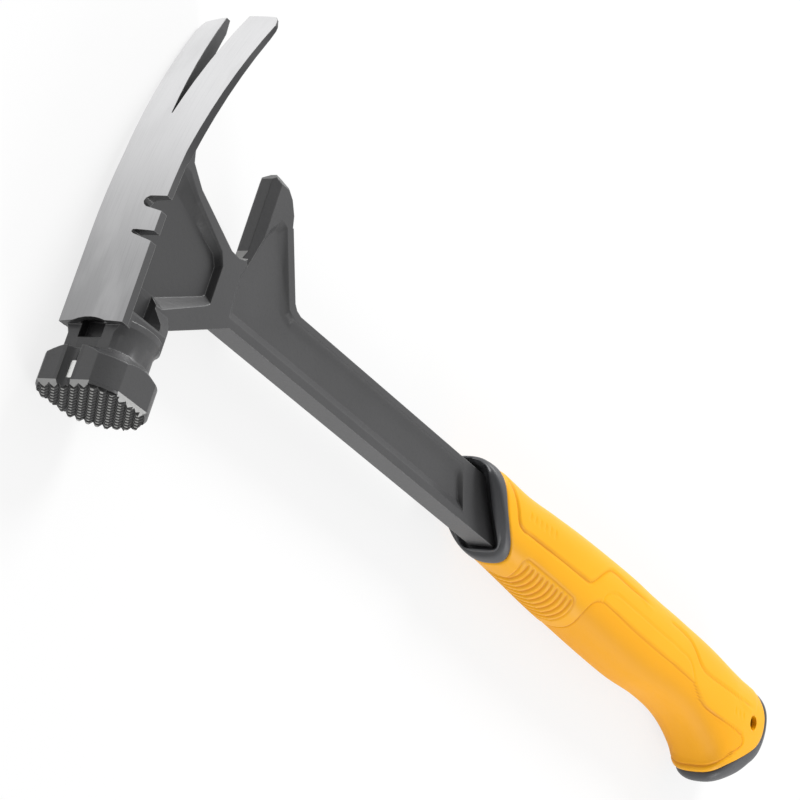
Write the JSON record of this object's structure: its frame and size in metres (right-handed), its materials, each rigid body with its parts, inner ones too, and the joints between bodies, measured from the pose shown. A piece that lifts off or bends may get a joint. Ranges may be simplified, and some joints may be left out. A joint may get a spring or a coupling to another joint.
{
  "type": "claw hammer",
  "caption": "Forged steel framing hammer with milled round face, curved split claws, ribbed truss head, side jaw for turning boards, and a moulded soft grip with a lanyard hole.",
  "frame": {"origin": "middle of the bounding box in X and Y, at its lowest level in Z, with the hammer lying on its side", "axes": "+X along the handle from the head's polished top to the butt, +Y from the striking face to the claws, +Z square to the hammer's side, towards the side with the nail-puller notches"},
  "size_m": [0.468, 0.1476, 0.0341],
  "materials": {
    "dark_steel": "dark grey satin coating over forged steel; the top of the head and the claws are bare and polished",
    "magnet": "bright nickel plate",
    "dark_grip": "matt moulded",
    "yellow_grip": "satin soft-touch moulding"
  },
  "bodies": {
    "root": {"forged_body": "dark_steel", "starter_magnet": "magnet", "grip_core": "dark_grip", "grip_sleeve": "yellow_grip"}
  },
  "joints": []
}
